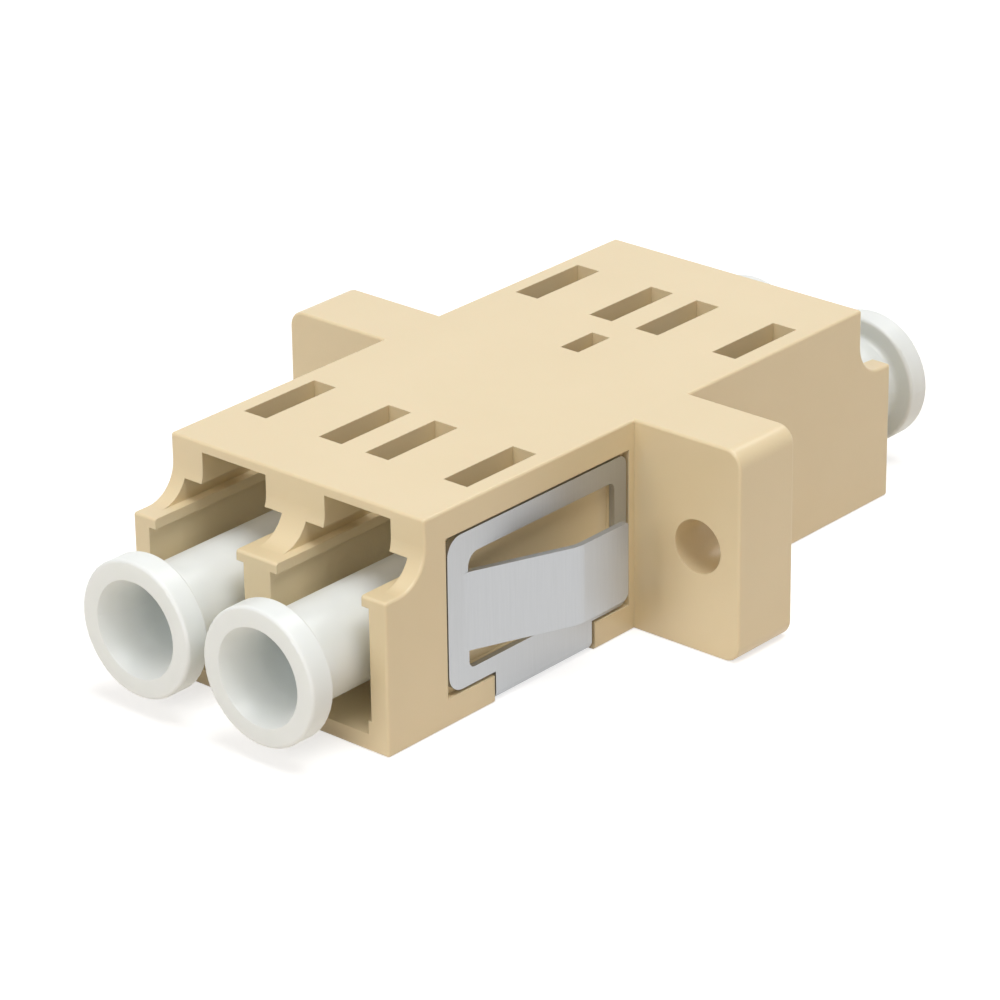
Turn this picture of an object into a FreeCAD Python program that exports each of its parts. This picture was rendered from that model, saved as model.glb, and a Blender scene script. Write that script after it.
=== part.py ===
"""Duplex LC fibre adapter with a panel flange, a sheet-metal panel clip and four dust caps.

Frame, in millimetres: the two ports run along Y and open at both ends, the front end at -Y. X runs across
the two ports, +Z is up. The origin is on the underside, midway between the ports, in the plane where the
two ferrules of a joined pair meet.
"""
import FreeCAD
import Part
import math
import os
from FreeCAD import Vector

# Ports, one for each plug
port_pitch = 6.25
plug_size = 4.5
plug_clearance = 0.04
side_wall = 0.985
floor_thickness = 1.25
rail_thickness = 0.42
rail_overhang = 0.19
latch_groove_height = 0.88
latch_groove_relief = 0.23
latch_channel_width = 3.28
keeper_height = 1.67
keeper_length = 3.23
roof_thickness = 0.4
roof_thickness_inside = 0.95
latch_window_length = 3.92
latch_window_width = 1.15
channel_end = 2.4
channel_end_rise = 0.4
mouth_flare = 0.16
mouth_flare_length = 1.6
mouth_floor_drop = 0.55
mouth_ramp_length = 3.0

# Body and flange
chin_reach = 15.3
front_roof_setback = 2.15
rear_roof_setback = 2.03
rear_rail_reach = 0.5
scoop_radius = 1.4
edge_radius = 0.12
flange_front = 1.15
flange_thickness = 3.3
ear_reach = 5.1
ear_corner_radius = 0.7
screw_offset = 3.1
screw_hole_diameter = 2.2

# Split sleeves that line up the ferrules
sleeve_bore = 1.246
sleeve_diameter = 1.62
sleeve_length = 6.8
sleeve_slit = 0.28
sleeve_chamfer = 0.05
sleeve_float = 0.03
sleeve_end_play = 0.05

# Sleeve holder, in two halves
holder_plate = 1.6
holder_clearance = 0.04
barrel_wall = 0.56
barrel_lip = 0.85
barrel_throat = 1.44
barrel_mouth = 2.0
barrel_edge = 0.15
peg_diameter = 0.9
peg_length = 0.7
peg_spacing = 2.4
peg_clearance = 0.05
peg_chamfer = 0.12
divider_recess = 0.25

# Snap hook of the sleeve holder and the window that it holds in
hook_window_start = 2.65
hook_window_length = 1.95
hook_window_width = 0.9
hook_clearance = 0.08
hook_arm_thickness = 0.4
hook_height = 0.6
hook_tip = 0.45
hook_slope_run = 0.8
hook_relief = 0.75

# Panel clip, bent from one strip of spring steel
clip_thickness = 0.25
clip_seat_gap = 0.02
clip_sunk = 0.04
clip_side_gap = 0.12
clip_to_flange = 0.45
clip_length = 10.28
clip_sill = 1.25
clip_top_margin = 1.27
clip_corner = 0.75
clip_rear_corner = 0.4
clip_front_strip = 1.14
clip_rear_strip = 0.7
clip_top_strip = 0.93
clip_bottom_strip = 0.67
clip_window_corner = 0.55
clip_window_small_corner = 0.3
clip_bend_radius = 0.1
strap_width = 5.6
strap_from_front = 2.62
tongue_slit = 0.72
tongue_slit_low = 0.76
tongue_rise = 1.75
tongue_ramp = 4.34
tongue_flat = 2.8
tongue_bend_radius = 1.2
tongue_low_corner = 0.35
tongue_high_corner = 0.12
pocket_depth = 0.15

# Dust caps
cap_fit = 0.03
cap_wall = 0.47
cap_root_gap = 0.7
cap_stop_gap = 0.1
cap_web = 0.8
cap_stand_out = 3.35
cap_rim_gap = 0.73
cap_rim_thickness = 1.1
cap_rim_edge = 0.14
cap_neck_radius = 0.25
cap_mouth_diameter = 3.94
cap_mouth_depth = 1.7
cap_mouth_bow = 0.13
cap_hollow_taper = 0.06
cap_lead_in = 0.2

# Heights of the port's steps, from the underside up
port_half = plug_size / 2 + plug_clearance
port_floor = floor_thickness
port_axis = port_floor + port_half
rail_under = port_axis + port_half
rail_top = rail_under + rail_thickness
keeper_under = rail_top + latch_groove_height
body_height = keeper_under + keeper_height

# Widths, measured from the port's own middle
port_x = port_pitch / 2
rail_half_gap = port_half - rail_overhang
groove_half = port_half + latch_groove_relief
channel_half = latch_channel_width / 2
body_half = port_x + port_half + side_wall

# Lengths, measured from the middle plane
front_roof_reach = chin_reach - front_roof_setback
rear_roof_reach = chin_reach - rear_roof_setback
keeper_end = front_roof_reach - keeper_length
groove_end = keeper_end - latch_window_length
hook_window_end = hook_window_start + hook_window_length
flange_rear = flange_thickness - flange_front

# The clip's recess in the body
clip_recess = clip_thickness + clip_seat_gap + clip_sunk
clip_rear_end = -flange_front - clip_to_flange
clip_front_end = clip_rear_end - clip_length
clip_top = body_height - clip_top_margin
strap_front = clip_front_end + strap_from_front
strap_rear = strap_front + strap_width
clip_outer = body_half - clip_sunk
clip_inner = clip_outer - clip_thickness

# How far a cutting shape runs past the surface that it cuts
over = 1.0


def box(x, y, z):
    """A block from its three (low, high) ranges."""
    return Part.makeBox(x[1] - x[0], y[1] - y[0], z[1] - z[0], Vector(x[0], y[0], z[0]))


def polygon_face(points):
    return Part.Face(Part.makePolygon(points + points[:1]))


def prism_x(points, x):
    """A (y, z) polygon, drawn out along X."""
    face = polygon_face([Vector(x[0], y, z) for y, z in points])
    return face.extrude(Vector(x[1] - x[0], 0, 0))


def prism_z(points, z):
    """An (x, y) polygon, drawn out along Z."""
    face = polygon_face([Vector(px, py, z[0]) for px, py in points])
    return face.extrude(Vector(0, 0, z[1] - z[0]))


def rounded_outline(low, high, radii, point):
    """A rounded rectangle as a wire. radii are at (low, low), (high, low), (high, high) and (low, high)."""
    corners = [(low[0], low[1]), (high[0], low[1]), (high[0], high[1]), (low[0], high[1])]
    inward = [(1, 1), (-1, 1), (-1, -1), (1, -1)]
    edges = []
    ends = []
    for number, ((u, v), (du, dv), r) in enumerate(zip(corners, inward, radii)):
        along_u = (u + du * r, v)
        along_v = (u, v + dv * r)
        start, end = (along_v, along_u) if number % 2 == 0 else (along_u, along_v)
        ends.append((start, end))
        if r:
            k = r * (1 - math.sqrt(0.5))
            middle = (u + du * k, v + dv * k)
            edges.append(Part.Arc(point(*start), point(*middle), point(*end)).toShape())
    for number in range(4):
        edges.append(Part.makeLine(point(*ends[number][1]), point(*ends[(number + 1) % 4][0])))
    return Part.Wire(Part.__sortEdges__(edges))


def rounded_prism_x(y, z, radii, x):
    """A rounded rectangle in the YZ plane, drawn out along X."""
    wire = rounded_outline((y[0], z[0]), (y[1], z[1]), radii, lambda u, v: Vector(x[0], u, v))
    return Part.Face(wire).extrude(Vector(x[1] - x[0], 0, 0))


def rounded_prism_y(x, z, radii, y):
    """A rounded rectangle in the XZ plane, drawn out along Y."""
    wire = rounded_outline((x[0], z[0]), (x[1], z[1]), radii, lambda u, v: Vector(u, y[0], v))
    return Part.Face(wire).extrude(Vector(0, y[1] - y[0], 0))


def rod_y(diameter, y, x=0.0, z=port_axis):
    """A round rod along Y."""
    return Part.makeCylinder(diameter / 2, y[1] - y[0], Vector(x, y[0], z), Vector(0, 1, 0))


def cone_y(start_diameter, end_diameter, y, x=0.0, z=port_axis):
    """A cone along Y, with its diameter at each end."""
    start = Vector(x, y[0], z)
    return Part.makeCone(start_diameter / 2, end_diameter / 2, y[1] - y[0], start, Vector(0, 1, 0))


def turned_round(shape):
    """A copy turned half a turn about Z: what is at the rear end comes to the front end."""
    copy = shape.copy()
    copy.rotate(Vector(0, 0, 0), Vector(0, 0, 1), 180)
    return copy


def both_ends(shape):
    return [shape, turned_round(shape)]


def mirrored_x(shape):
    return shape.mirror(Vector(0, 0, 0), Vector(1, 0, 0))


def one_solid(shape):
    """The shape as a single clean solid."""
    solids = shape.removeSplitter().Solids
    if len(solids) != 1 or not solids[0].isValid():
        raise ValueError(f"expected one valid solid, found {len(solids)}")
    return solids[0]


def body_outline():
    """The body's side view: the chin reaches past the roof at both ends, with a scoop between them. At the
    rear end, where the rails stop short, the chin is lower by their thickness."""

    def point(y, z):
        return Vector(-body_half, y, z)

    def half(side, roof_reach, ledge):
        scoop_y = roof_reach + scoop_radius
        scoop_z = ledge + scoop_radius
        bulge = scoop_radius * math.sqrt(0.5)
        edges = [
            Part.makeLine(point(side * chin_reach, 0), point(side * chin_reach, ledge)),
            Part.makeLine(point(side * chin_reach, ledge), point(side * scoop_y, ledge)),
            Part.Arc(
                point(side * scoop_y, ledge),
                point(side * (scoop_y - bulge), scoop_z - bulge),
                point(side * roof_reach, scoop_z),
            ).toShape(),
            Part.makeLine(point(side * roof_reach, scoop_z), point(side * roof_reach, body_height)),
        ]
        return edges

    edges = half(-1, front_roof_reach, rail_top) + half(1, rear_roof_reach, rail_under)
    edges.append(Part.makeLine(point(-front_roof_reach, body_height), point(rear_roof_reach, body_height)))
    edges.append(Part.makeLine(point(-chin_reach, 0), point(chin_reach, 0)))
    return Part.Wire(Part.__sortEdges__(edges))


def sharp_edges(solid):
    """The solid's outer corners: its edges whose two faces don't run on into each other."""
    found = []
    for edge in solid.Edges:
        faces = solid.ancestorsOfType(edge, Part.Face)
        if len(faces) != 2:
            continue
        at = edge.valueAt((edge.FirstParameter + edge.LastParameter) / 2)
        normals = [face.normalAt(*face.Surface.parameter(at)) for face in faces]
        if abs(normals[0].dot(normals[1])) < 0.9:
            found.append(edge)
    return found


def body_block():
    """The moulded body without its openings, with softened edges."""
    block = Part.Face(body_outline()).extrude(Vector(2 * body_half, 0, 0))
    return block.makeFillet(edge_radius, sharp_edges(block))


def flange():
    """The ears that seat on the panel, with a screw hole in each."""
    half_width = body_half + ear_reach
    plate = rounded_prism_y(
        (-half_width, half_width), (0, body_height), [ear_corner_radius] * 4, (-flange_front, flange_rear)
    )
    plate = plate.makeFillet(edge_radius, sharp_edges(plate))
    holes = [
        rod_y(screw_hole_diameter, (-flange_front - over, flange_rear + over), x, body_height / 2)
        for x in (-body_half - screw_offset, body_half + screw_offset)
    ]
    return plate.cut(holes)


def port_lower(x):
    """The rear half of the space that a plug's body fills, round the port at x, with its flared mouth."""
    far = chin_reach
    body = box((x - port_half, x + port_half), (0, far + over), (port_floor, rail_under))
    flare_start = far - mouth_flare_length
    flare = prism_z(
        [
            (x - port_half, flare_start),
            (x + port_half, flare_start),
            (x + port_half + mouth_flare, far),
            (x + port_half + mouth_flare, far + over),
            (x - port_half - mouth_flare, far + over),
            (x - port_half - mouth_flare, far),
        ],
        (port_floor, rail_under),
    )
    ramp = prism_x(
        [
            (far - mouth_ramp_length, port_floor),
            (far, port_floor - mouth_floor_drop),
            (far + over, port_floor - mouth_floor_drop),
            (far + over, port_floor + over),
            (far - mouth_ramp_length, port_floor + over),
        ],
        (x - port_half, x + port_half),
    )
    return [body, flare, ramp]


def port_upper(x):
    """The rear half of the space above a plug's body at x: the gap between the rails, the groove that its
    latch lugs slide in, the channel for its latch arm, and the two windows that the lugs spring up into."""
    far = chin_reach + over
    rail_gap = box((x - rail_half_gap, x + rail_half_gap), (groove_end, far), (rail_under, rail_top))
    groove = box((x - groove_half, x + groove_half), (groove_end, far), (rail_top, keeper_under))
    ceiling = body_height - roof_thickness
    low_ceiling = body_height - roof_thickness_inside
    channel = prism_x(
        [
            (channel_end, rail_under),
            (far, rail_under),
            (far, ceiling),
            (keeper_end + ceiling - low_ceiling, ceiling),
            (keeper_end, low_ceiling),
            (groove_end, low_ceiling),
            (channel_end, rail_top + channel_end_rise),
        ],
        (x - channel_half, x + channel_half),
    )
    windows = [
        box(span, (groove_end, keeper_end), (rail_top, body_height + over))
        for span in (
            (x - groove_half, x - groove_half + latch_window_width),
            (x + groove_half - latch_window_width, x + groove_half),
        )
    ]
    return [rail_gap, groove, channel] + windows


def port_spaces():
    """All that the two ports take away from the body, at both ends."""
    spaces = []
    for x in (-port_x, port_x):
        for space in port_lower(x) + port_upper(x):
            spaces += both_ends(space)
    return spaces


def holder_space():
    """The space that the sleeve holder slides in through: from its stop in the middle to the rear end, under
    the rails and past their ends, and the window that its hook springs up into."""
    half_width = port_x + port_half
    stop = -holder_plate - holder_clearance
    far = chin_reach + over
    slide = box((-half_width, half_width), (stop, far), (port_floor, rail_under))
    rail_end = rear_roof_reach + rear_rail_reach
    past_rails = box((-half_width, half_width), (rail_end, far), (rail_under, body_height))
    window = box(
        (-hook_window_width / 2, hook_window_width / 2),
        (hook_window_start, hook_window_end),
        (rail_under - over, body_height + over),
    )
    return [slide, past_rails, window]


def clip_space():
    """The recess for the panel clip: a shallow bed in each side, deeper where the tongue is pressed in, and a
    channel for the strap down both sides and across the underside."""
    bed_y = (clip_front_end - clip_side_gap, clip_rear_end + clip_side_gap)
    bed_z = (clip_sill - clip_side_gap, clip_top + clip_side_gap)
    bed_x = body_half - clip_recess
    pocket_y = (clip_front_end + clip_front_strip, clip_rear_end - clip_rear_strip)
    pocket_z = (clip_sill + clip_bottom_strip, clip_top - clip_top_strip)
    spaces = []
    for bed in (
        box((bed_x, body_half + over), bed_y, bed_z),
        box((bed_x - pocket_depth, body_half), pocket_y, pocket_z),
    ):
        spaces += [bed, mirrored_x(bed)]
    strap_y = (strap_front - clip_side_gap, strap_rear + clip_side_gap)
    around = box((-body_half - over, body_half + over), strap_y, (-over, bed_z[0] + edge_radius))
    core_corner = clip_bend_radius + clip_seat_gap
    core = rounded_prism_y(
        (-bed_x, bed_x), (clip_recess, body_height), [core_corner, core_corner, 0, 0], strap_y
    )
    return spaces + [around.cut(core)]


def housing():
    """The one-piece moulded housing."""
    solid = body_block().fuse(flange())
    return one_solid(solid.cut(port_spaces() + holder_space() + clip_space()))


def barrel(x):
    """One round barrel of the holder at the rear side, with its mouth's lead-in left to the bore."""
    end = sleeve_length / 2 + sleeve_end_play + barrel_lip
    outer = sleeve_diameter + 2 * (sleeve_float + barrel_wall)
    tip = cone_y(outer, outer - 2 * barrel_edge, (end - barrel_edge, end), x)
    return rod_y(outer, (0, end - barrel_edge), x).fuse(tip)


def barrel_bore(x):
    """The space inside a barrel: the sleeve's pocket, then a funnel through the lip that keeps it in."""
    pocket_end = sleeve_length / 2 + sleeve_end_play
    pocket = rod_y(sleeve_diameter + 2 * sleeve_float, (-over, pocket_end), x)
    funnel = cone_y(barrel_throat, barrel_mouth, (pocket_end, pocket_end + barrel_lip), x)
    return [pocket, funnel]


def holder_half_block():
    """A plate across both ports with two barrels, at the rear side."""
    half_width = port_x + port_half - holder_clearance
    plate = box(
        (-half_width, half_width),
        (0, holder_plate),
        (port_floor + holder_clearance, rail_under - holder_clearance),
    )
    return plate.fuse([barrel(x) for x in (-port_x, port_x)])


def peg_heights():
    return (port_axis - peg_spacing / 2, port_axis + peg_spacing / 2)


def peg(z):
    """A peg at that height, rooted in the front plate, with a chamfered tip."""
    shoulder = peg_length - peg_chamfer
    tip = cone_y(peg_diameter, peg_diameter - 2 * peg_chamfer, (shoulder, peg_length), 0, z)
    return rod_y(peg_diameter, (-holder_plate / 2, shoulder), 0, z).fuse(tip)


def front_holder():
    """The front half of the sleeve holder, with two pegs that fix it to the rear half."""
    block = turned_round(holder_half_block())
    bores = [turned_round(space) for x in (-port_x, port_x) for space in barrel_bore(x)]
    return one_solid(block.cut(bores).fuse([peg(z) for z in peg_heights()]))


def holder_divider():
    """The wall between the two rear ports. It slides in under the housing's rails with the holder."""
    wall = box(
        (-port_x, port_x),
        (holder_plate / 2, chin_reach - divider_recess),
        (port_floor + holder_clearance, rail_under - holder_clearance),
    )
    ports = [space for x in (-port_x, port_x) for space in port_lower(x)]
    arm_top = rail_under - holder_clearance
    relief = box(
        (-port_x, port_x),
        (holder_plate, hook_window_end + hook_clearance),
        (arm_top - hook_arm_thickness - hook_relief, arm_top + over),
    )
    return wall.cut(ports + [relief])


def snap_hook():
    """The springy arm on the holder's plate, with a hook that stops against the window's rear edge."""
    half_width = hook_window_width / 2 - hook_clearance
    top = rail_under - holder_clearance
    end = hook_window_end - hook_clearance
    return prism_x(
        [
            (holder_plate / 2, top - hook_arm_thickness),
            (end, top - hook_arm_thickness),
            (end, top + hook_height),
            (end - hook_tip, top + hook_height),
            (end - hook_tip - hook_slope_run, top),
            (holder_plate / 2, top),
        ],
        (-half_width, half_width),
    )


def rear_holder():
    """The rear half of the sleeve holder, with the divider between the rear ports and the snap hook."""
    block = holder_half_block().fuse([holder_divider(), snap_hook()])
    bores = [space for x in (-port_x, port_x) for space in barrel_bore(x)]
    sockets = [
        rod_y(peg_diameter + 2 * peg_clearance, (-over, peg_length + peg_clearance), 0, z)
        for z in peg_heights()
    ]
    return one_solid(block.cut(bores + sockets))


def split_sleeve(x):
    """A ceramic tube, slit along its length so that it grips both ferrules."""
    half = sleeve_length / 2
    inner = sleeve_bore / 2
    outer = sleeve_diameter / 2
    profile = polygon_face(
        [
            Vector(x + inner + sleeve_chamfer, -half, port_axis),
            Vector(x + outer - sleeve_chamfer, -half, port_axis),
            Vector(x + outer, sleeve_chamfer - half, port_axis),
            Vector(x + outer, half - sleeve_chamfer, port_axis),
            Vector(x + outer - sleeve_chamfer, half, port_axis),
            Vector(x + inner + sleeve_chamfer, half, port_axis),
            Vector(x + inner, half - sleeve_chamfer, port_axis),
            Vector(x + inner, sleeve_chamfer - half, port_axis),
        ]
    )
    tube = profile.revolve(Vector(x, 0, port_axis), Vector(0, 1, 0), 360)
    slit = box(
        (x - sleeve_slit / 2, x + sleeve_slit / 2),
        (-half - over, half + over),
        (port_axis, port_axis + outer + over),
    )
    return one_solid(tube.cut(slit))


def tongue_path():
    """The tongue's bend line in the XY plane, at the strip's inner face: corners and bend radii."""
    root = clip_front_end + clip_front_strip
    return [
        (clip_inner, root - clip_front_strip / 2),
        (clip_inner, root),
        (clip_inner + tongue_rise, root + tongue_ramp),
        (clip_inner + tongue_rise, root + tongue_ramp + tongue_flat),
    ]


def moved_right(path, distance):
    """The corners of an XY path that runs beside path, on its right, at that distance."""
    points = [Vector(x, y, 0) for x, y in path]
    headings = [(after - before).normalize() for before, after in zip(points, points[1:])]
    rights = [Vector(heading.y, -heading.x, 0) for heading in headings]
    pairs = zip(points, rights[:1] + rights, rights + rights[-1:])
    moved = [point + (a + b) * (distance / (1 + a.dot(b))) for point, a, b in pairs]
    return [(point.x, point.y) for point in moved]


def bent_strip(path, bend_radius, thickness, z):
    """A bent strip of sheet, standing on edge: path is its left face, seen along it from above."""
    right = moved_right(path, thickness)
    strip = prism_z(path + right[::-1], z)
    for number in range(1, len(path) - 1):
        (ax, ay), (bx, by), (cx, cy) = path[number - 1:number + 2]
        turns_left = (bx - ax) * (cy - by) > (by - ay) * (cx - bx)
        radii = [bend_radius, bend_radius + thickness]
        if not turns_left:
            radii.reverse()
        for (x, y), radius in zip((path[number], right[number]), radii):
            strip = strip.makeFillet(radius, [upright_edge(strip, x, y)])
    return strip


def upright_edge(solid, x, y):
    """The solid's straight edge along Z at that place."""
    for edge in solid.Edges:
        extent = edge.BoundBox
        upright = max(extent.XLength, extent.YLength) < 1e-6
        if upright and math.hypot(extent.XMin - x, extent.YMin - y) < 1e-4:
            return edge
    raise ValueError("no such edge")


def clip_tongue():
    """The tongue at the right side: cut free on three sides, bent out, and straight again near its end."""
    low = clip_sill + clip_bottom_strip + tongue_slit_low
    high = clip_top - clip_top_strip - tongue_slit
    path = tongue_path()
    strip = bent_strip(path, tongue_bend_radius, clip_thickness, (low, high))
    outline = rounded_prism_x(
        (path[0][1] - over, path[-1][1]),
        (low, high),
        [0, tongue_low_corner, tongue_high_corner, 0],
        (clip_inner - over, clip_outer + tongue_rise + over),
    )
    return strip.common(outline)


def clip_side():
    """The clip's plate at the right side: a frame round a window, with the tongue in it."""
    plate = rounded_prism_x(
        (clip_front_end, clip_rear_end),
        (clip_sill, clip_top),
        [clip_corner, clip_rear_corner, clip_rear_corner, clip_corner],
        (clip_inner, clip_outer),
    )
    window = rounded_prism_x(
        (clip_front_end + clip_front_strip, clip_rear_end - clip_rear_strip),
        (clip_sill + clip_bottom_strip, clip_top - clip_top_strip),
        [clip_window_small_corner, clip_window_small_corner, clip_window_small_corner, clip_window_corner],
        (clip_inner - over, clip_outer + over),
    )
    return plate.cut(window).fuse(clip_tongue())


def clip_strap():
    """The strap that joins the two side plates across the underside, with a bend at each corner."""
    top = clip_sill + clip_bottom_strip / 2
    outer_corner = clip_bend_radius + clip_thickness
    outside = rounded_prism_y(
        (-clip_outer, clip_outer),
        (clip_sunk, top),
        [outer_corner, outer_corner, 0, 0],
        (strap_front, strap_rear),
    )
    inside = rounded_prism_y(
        (-clip_inner, clip_inner),
        (clip_sunk + clip_thickness, top + over),
        [clip_bend_radius, clip_bend_radius, 0, 0],
        (strap_front - over, strap_rear + over),
    )
    return outside.cut(inside)


def panel_clip():
    """The whole clip, one bent piece."""
    side = clip_side()
    return one_solid(clip_strap().fuse([side, mirrored_x(side)]))


def dust_cap():
    """A dust cap at the rear side, on the axis X = 0: a tube closed by a web, with a rim to pull it by."""
    barrel_radius = sleeve_diameter / 2 + sleeve_float + barrel_wall
    barrel_end = sleeve_length / 2 + sleeve_end_play + barrel_lip
    bore = barrel_radius + cap_fit
    tube = bore + cap_wall
    rim = (port_pitch - cap_rim_gap) / 2
    mouth = cap_mouth_diameter / 2
    root = holder_plate + cap_root_gap
    web_start = barrel_end + cap_stop_gap
    web_end = web_start + cap_web
    face = chin_reach + cap_stand_out
    rim_back = face - cap_rim_thickness
    hollow = bore - cap_hollow_taper
    throat = face - cap_mouth_depth

    def point(r, y):
        return Vector(r, y, port_axis)

    flare_middle = point((mouth + bore) / 2 - cap_mouth_bow, face - cap_mouth_depth / 2)
    outline = [
        Part.makeLine(point(0, web_start), point(bore, web_start)),
        Part.makeLine(point(bore, web_start), point(bore, root + cap_lead_in)),
        Part.makeLine(point(bore, root + cap_lead_in), point(bore + cap_lead_in, root)),
        Part.makeLine(point(bore + cap_lead_in, root), point(tube, root)),
        Part.makeLine(point(tube, root), point(tube, rim_back)),
        Part.makeLine(point(tube, rim_back), point(rim, rim_back)),
        Part.makeLine(point(rim, rim_back), point(rim, face)),
        Part.makeLine(point(rim, face), point(mouth, face)),
        Part.Arc(point(mouth, face), flare_middle, point(bore, throat)).toShape(),
        Part.makeLine(point(bore, throat), point(hollow, web_end)),
        Part.makeLine(point(hollow, web_end), point(0, web_end)),
        Part.makeLine(point(0, web_end), point(0, web_start)),
    ]
    profile = Part.Face(Part.Wire(Part.__sortEdges__(outline)))
    cap = profile.revolve(Vector(0, 0, port_axis), Vector(0, 1, 0), 360)

    def circle_at(radius, y):
        """The cap's edge of that radius in that plane."""
        for edge in cap.Edges:
            curve = edge.Curve
            if isinstance(curve, Part.Circle) and abs(curve.Radius - radius) < 1e-6:
                if abs(edge.BoundBox.YMin - y) < 1e-6 and edge.BoundBox.YLength < 1e-6:
                    return edge
        raise ValueError("no such edge")

    cap = cap.makeFillet(cap_rim_edge, [circle_at(rim, rim_back), circle_at(rim, face)])
    return cap.makeFillet(cap_neck_radius, [circle_at(tube, rim_back)])


def placed_cap(x, front):
    """A dust cap on the port at x, at the front or the rear end."""
    cap = dust_cap()
    cap.translate(Vector(-x if front else x, 0, 0))
    return one_solid(turned_round(cap) if front else cap)


def build():
    parts = {
        "housing": housing(),
        "front_sleeve_holder": front_holder(),
        "rear_sleeve_holder": rear_holder(),
        "left_split_sleeve": split_sleeve(-port_x),
        "right_split_sleeve": split_sleeve(port_x),
        "panel_clip": panel_clip(),
    }
    for end in ("front", "rear"):
        for side, x in (("left", -port_x), ("right", port_x)):
            parts[f"{end}_{side}_dust_cap"] = placed_cap(x, end == "front")
    return parts


os.makedirs("parts", exist_ok=True)
for name, solid in build().items():
    solid.exportStep(f"parts/{name}.step")
    extent = solid.optimalBoundingBox()
    print(
        f"{name}: {solid.Volume:.2f} mm3, x {extent.XMin:.2f} to {extent.XMax:.2f}, "
        f"y {extent.YMin:.2f} to {extent.YMax:.2f}, z {extent.ZMin:.2f} to {extent.ZMax:.2f}"
    )
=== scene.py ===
import bpy
import math
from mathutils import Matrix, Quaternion, Vector

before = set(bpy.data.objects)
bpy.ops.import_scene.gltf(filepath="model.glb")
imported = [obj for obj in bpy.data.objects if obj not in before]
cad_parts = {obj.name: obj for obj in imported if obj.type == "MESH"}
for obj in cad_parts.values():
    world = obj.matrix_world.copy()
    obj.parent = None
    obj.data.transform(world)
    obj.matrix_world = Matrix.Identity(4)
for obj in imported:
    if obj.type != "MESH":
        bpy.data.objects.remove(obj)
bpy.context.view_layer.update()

# Housing
# One injection-moulded piece of beige PBT, with both ports, the flange and the roof windows in it.
# The mould was spark-eroded, which leaves a fine, even satin grain. Everything else goes into the
# housing from an end or a side.
mm = 0.001
housing_light = "#E8D7B2"
housing_dark = "#E1CFA8"


def linear(colour):
    """An sRGB hex colour as the linear values that a shader takes."""
    channels = [int(colour[start:start + 2], 16) / 255 for start in (1, 3, 5)]
    return [c / 12.92 if c <= 0.04045 else ((c + 0.055) / 1.055) ** 2.4 for c in channels] + [1.0]


def add(owner, kind, settings=None, links=None):
    """Adds a shader node to a material or to the world. A setting is one of the node's properties
    or an input's value. A link brings another node's output, as (node, output), to an input."""
    tree = owner.node_tree
    new = tree.nodes.new(kind)
    for key, value in (settings or {}).items():
        if isinstance(key, str) and hasattr(new, key):
            setattr(new, key, value)
        else:
            new.inputs[key].default_value = value
    for key, (source, output) in (links or {}).items():
        tree.links.new(source.outputs[output], new.inputs[key])
    return new


def new_material(name):
    """An empty node material."""
    material = bpy.data.materials.new(name)
    material.use_nodes = True
    material.node_tree.nodes.clear()
    return material


def on_the_piece(material):
    """The piece's own coordinates, in metres, so that a pattern stays on it."""
    return add(material, "ShaderNodeTexCoord"), "Object"


def noise(material, coordinates, size, detail, roughness):
    """An uneven pattern whose features measure that size, in metres."""
    return add(
        material, "ShaderNodeTexNoise",
        {"Scale": 1 / size, "Detail": detail, "Roughness": roughness},
        {"Vector": coordinates},
    )


def two_tones(material, pattern, dark, light):
    """A colour between two hex colours, as the pattern goes."""
    return add(
        material, "ShaderNodeMix",
        {"data_type": "RGBA", 6: linear(dark), 7: linear(light)},
        {0: (pattern, "Fac")},
    )


def uneven_gloss(material, pattern, lowest, highest):
    """A roughness between two values, as the pattern goes."""
    return add(
        material, "ShaderNodeMapRange",
        {"To Min": lowest, "To Max": highest},
        {"Value": (pattern, "Fac")},
    )


def finish_material(material, surface):
    """Sends the surface to the output."""
    add(material, "ShaderNodeOutputMaterial", links={"Surface": (surface, 0)})
    return material


def dress(node, material):
    """Gives a CAD node its one material."""
    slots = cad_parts[node].data.materials
    slots.clear()
    slots.append(material)


# PBT is opaque, satin and a little warm. The grain of the real mould is 0.03 mm, too fine to show
# here, so it is drawn at 0.12 mm. A faint cloudiness over several millimetres is where the melt
# flowed and cooled unevenly. A mould leaves no corner quite sharp, so the edges catch the light
# over a radius of a twentieth of a millimetre.
grain_size = 0.12 * mm
grain_depth = 0.012 * mm
cloud_size = 5.0 * mm
corner_radius = 0.05 * mm
pbt_light_depth = 0.3 * mm


def moulded_pbt(name, light, dark):
    """Satin PBT with its grain, in the colour of one moulding."""
    material = new_material(name)
    coordinates = on_the_piece(material)
    clouds = noise(material, coordinates, cloud_size, detail=3.0, roughness=0.5)
    grain = noise(material, coordinates, grain_size, detail=2.0, roughness=0.6)
    colour = two_tones(material, clouds, dark, light)
    gloss = uneven_gloss(material, grain, 0.28, 0.38)
    corners = add(material, "ShaderNodeBevel", {"samples": 4, "Radius": corner_radius})
    bump = add(
        material, "ShaderNodeBump",
        {"Strength": 0.35, "Distance": grain_depth},
        {"Height": (grain, "Fac"), "Normal": (corners, 0)},
    )
    plastic = add(
        material, "ShaderNodeBsdfPrincipled",
        {"IOR": 1.54, "Subsurface Weight": 0.04, "Subsurface Scale": pbt_light_depth},
        {"Base Color": (colour, 2), "Roughness": (gloss, 0), "Normal": (bump, 0)},
    )
    return finish_material(material, plastic)


dress("housing", moulded_pbt("moulded_beige_pbt", housing_light, housing_dark))

# Split sleeves
# Two zirconia tubes, ground to size and slit along one side, so that they spring onto both
# ferrules. They lie loose in the holder's barrels, between the lips at the two ends.
zirconia_light = "#F6F4EC"
zirconia_dark = "#EFEBDF"
grinding_mark = 0.2 * mm
zirconia_light_depth = 0.2 * mm


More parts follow.
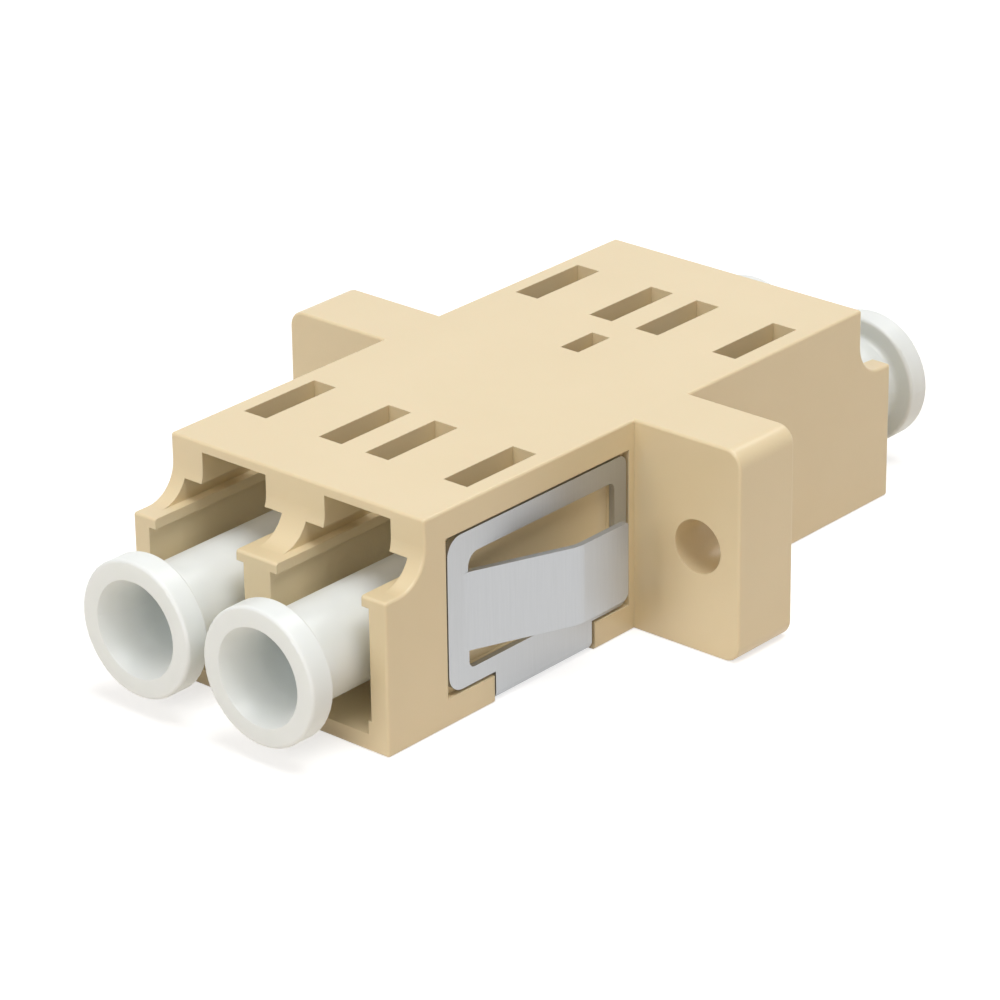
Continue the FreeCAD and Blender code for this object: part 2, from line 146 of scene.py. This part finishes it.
def ground_zirconia():
    """Zirconia: dense and white with a touch of ivory, ground so fine that it is nearly glossy."""
    material = new_material("ground_zirconia")
    coordinates = on_the_piece(material)
    marks = noise(material, coordinates, grinding_mark, detail=2.0, roughness=0.5)
    colour = two_tones(material, marks, zirconia_dark, zirconia_light)
    gloss = uneven_gloss(material, marks, 0.12, 0.22)
    ceramic = add(
        material, "ShaderNodeBsdfPrincipled",
        {"IOR": 2.1, "Subsurface Weight": 0.1, "Subsurface Scale": zirconia_light_depth},
        {"Base Color": (colour, 2), "Roughness": (gloss, 0)},
    )
    return finish_material(material, ceramic)


zirconia = ground_zirconia()
for side in ("left", "right"):
    dress(f"{side}_split_sleeve", zirconia)

# Sleeve holder
# Two halves of the same beige plastic, pinned together round the sleeves by two pegs. This core
# slides in from the rear end, and its hook snaps into the small window in the roof.
holder_light = "#DBC8A3"
holder_dark = "#D4C09A"

holder_plastic = moulded_pbt("moulded_holder_pbt", holder_light, holder_dark)
for end in ("front", "rear"):
    dress(f"{end}_sleeve_holder", holder_plastic)

# Panel clip
# One blank of 0.25 mm stainless spring strip, stamped and bent to a U round the underside, with a
# tongue cut free in each side. It springs into its recess and is held there by its own grip.
# Along X and Z, the ways that the strip runs, its pattern of streaks is drawn out 33 times.
steel_light = "#BABCBE"
steel_dark = "#ADAFB1"
streak_width = 0.06 * mm
streak_depth = 0.002 * mm
streak_scale = (0.03, 1.0, 0.03)


def rolled_stainless():
    """Stainless strip: cold-rolled, so its satin surface has fine streaks along the strip, which
    here run round the U. The real streaks are finer than 0.02 mm, and are drawn wider to show."""
    material = new_material("rolled_stainless_strip")
    stretched = add(
        material, "ShaderNodeMapping",
        {"Scale": streak_scale},
        {"Vector": on_the_piece(material)},
    )
    streaks = noise(material, (stretched, 0), streak_width, detail=3.0, roughness=0.6)
    colour = two_tones(material, streaks, steel_dark, steel_light)
    gloss = uneven_gloss(material, streaks, 0.34, 0.48)
    bump = add(
        material, "ShaderNodeBump",
        {"Strength": 0.15, "Distance": streak_depth},
        {"Height": (streaks, "Fac")},
    )
    steel = add(
        material, "ShaderNodeBsdfPrincipled",
        {"Metallic": 1.0},
        {"Base Color": (colour, 2), "Roughness": (gloss, 0), "Normal": (bump, 0)},
    )
    return finish_material(material, steel)


dress("panel_clip", rolled_stainless())

# Dust caps
# Four soft polyethylene caps, pushed over the holder's barrels. Each is moulded in one shot, with
# a rim to pull it by, and keeps dust off the sleeves until a plug goes in.
polyethylene_light = "#EFF4F4"
polyethylene_dark = "#E9EFEE"
flow_mark_size = 1.4 * mm
flow_mark_depth = 0.01 * mm
polyethylene_light_depth = 0.5 * mm


def milky_polyethylene():
    """Low-density polyethylene: milky, so light goes a little way in, with a smooth, slightly waxy
    skin and faint flow marks a millimetre or so apart."""
    material = new_material("milky_polyethylene")
    coordinates = on_the_piece(material)
    flow = noise(material, coordinates, flow_mark_size, detail=2.0, roughness=0.45)
    colour = two_tones(material, flow, polyethylene_dark, polyethylene_light)
    gloss = uneven_gloss(material, flow, 0.3, 0.4)
    bump = add(
        material, "ShaderNodeBump",
        {"Strength": 0.1, "Distance": flow_mark_depth},
        {"Height": (flow, "Fac")},
    )
    plastic = add(
        material, "ShaderNodeBsdfPrincipled",
        {
            "IOR": 1.51, "Subsurface Weight": 0.35,
            "Subsurface Scale": polyethylene_light_depth, "Subsurface Radius": (1.0, 1.0, 0.9),
        },
        {"Base Color": (colour, 2), "Roughness": (gloss, 0), "Normal": (bump, 0)},
    )
    return finish_material(material, plastic)


polyethylene = milky_polyethylene()
for end in ("front", "rear"):
    for side in ("left", "right"):
        dress(f"{end}_{side}_dust_cap", polyethylene)

# Floor and background
# A plain round sheet of white paper under the part. To the eye, also in a reflection, it is white
# but for the part's shadow. The light that it throws back onto the part is a little warmer and
# weaker.
floor_radius = 0.27
floor_sides = 96
paper_bounce = "#DDD3C6"
paper_seen = "#C8C8C8"
paper_glow = 0.635
plain_white = "#FFFFFF"

bpy.ops.object.select_all(action="DESELECT")
bpy.ops.mesh.primitive_circle_add(
    vertices=floor_sides, radius=floor_radius, fill_type="NGON", location=(0, 0, 0)
)
floor = bpy.context.object
floor.name = "floor"


def seen_by_eye(owner):
    """1 for rays that carry the picture: straight from the camera, mirrored or through something
    clear."""
    ray = add(owner, "ShaderNodeLightPath")
    mirrored = add(
        owner, "ShaderNodeMath",
        {"operation": "MAXIMUM"},
        {0: (ray, "Is Camera Ray"), 1: (ray, "Is Glossy Ray")},
    )
    return add(
        owner, "ShaderNodeMath",
        {"operation": "MAXIMUM"},
        {0: (mirrored, 0), 1: (ray, "Is Transmission Ray")},
    )


paper = new_material("white_paper")
thrown_back = add(paper, "ShaderNodeBsdfDiffuse", {"Color": linear(paper_bounce)})
shaded = add(paper, "ShaderNodeBsdfDiffuse", {"Color": linear(paper_seen)})
glow = add(paper, "ShaderNodeEmission", {"Color": linear(plain_white), "Strength": paper_glow})
white_but_shaded = add(paper, "ShaderNodeAddShader", links={0: (shaded, 0), 1: (glow, 0)})
sheet = add(
    paper, "ShaderNodeMixShader",
    links={0: (seen_by_eye(paper), 0), 1: (thrown_back, 0), 2: (white_but_shaded, 0)},
)
floor.data.materials.append(finish_material(paper, sheet))

# Light
# A large soft lamp overhead and a little to the right, which makes the top the brightest side, a
# smaller one in front for the end faces and the caps, and a small one behind, which draws a line
# of light along the rounded edges. All round is an even pale surround, and white to the eye.
surround_colour = "#FFF4EA"
surround_strength = 0.3


def area_lamp(name, place, size, power):
    """A round lamp that faces the part. Place and diameter are in metres, the power in watts."""
    bpy.ops.object.light_add(type="AREA", location=place)
    lamp = bpy.context.object
    lamp.name = name
    lamp.data.shape = "DISK"
    lamp.data.size = size
    lamp.data.energy = power
    lamp.rotation_euler = Vector(place).to_track_quat("Z", "Y").to_euler()


area_lamp("overhead_lamp", place=(0.11, -0.02, 0.435), size=0.3, power=1.22)
area_lamp("edge_lamp", place=(0.0, 0.27, 0.35), size=0.14, power=0.25)
area_lamp("front_lamp", place=(0.0, -0.43, 0.19), size=0.25, power=0.68)

world = bpy.data.worlds.new("studio")
bpy.context.scene.world = world
world.use_nodes = True
world.node_tree.nodes.clear()
surround = add(
    world, "ShaderNodeBackground",
    {"Color": linear(surround_colour), "Strength": surround_strength},
)
white = add(world, "ShaderNodeBackground", {"Color": linear(plain_white), "Strength": 1.0})
backdrop = add(
    world, "ShaderNodeMixShader",
    links={0: (seen_by_eye(world), 0), 1: (surround, 0), 2: (white, 0)},
)
add(world, "ShaderNodeOutputWorld", links={"Surface": (backdrop, 0)})

# Camera
# A long lens looks down at the front right corner, at the photo's angle. The point in the middle
# of its picture lies inside the front half of the part.
camera_azimuth = math.radians(41.06)
camera_elevation = math.radians(24.13)
camera_roll = math.radians(-0.71)
camera_distance = 175.0 * mm
camera_target = Vector((1.22, -3.01, 4.63)) * mm
camera_lens = 163.0
camera_clip_start = 1.0 * mm

backwards = Vector((
    math.sin(camera_azimuth) * math.cos(camera_elevation),
    -math.cos(camera_azimuth) * math.cos(camera_elevation),
    math.sin(camera_elevation),
))
bpy.ops.object.camera_add(location=camera_target + backwards * camera_distance)
camera = bpy.context.object
camera.name = "camera"
turned = backwards.to_track_quat("Z", "Y") @ Quaternion((0, 0, 1), camera_roll)
camera.rotation_euler = turned.to_euler()
camera.data.lens = camera_lens
camera.data.clip_start = camera_clip_start
bpy.context.scene.camera = camera
bpy.context.scene.view_settings.view_transform = "Standard"
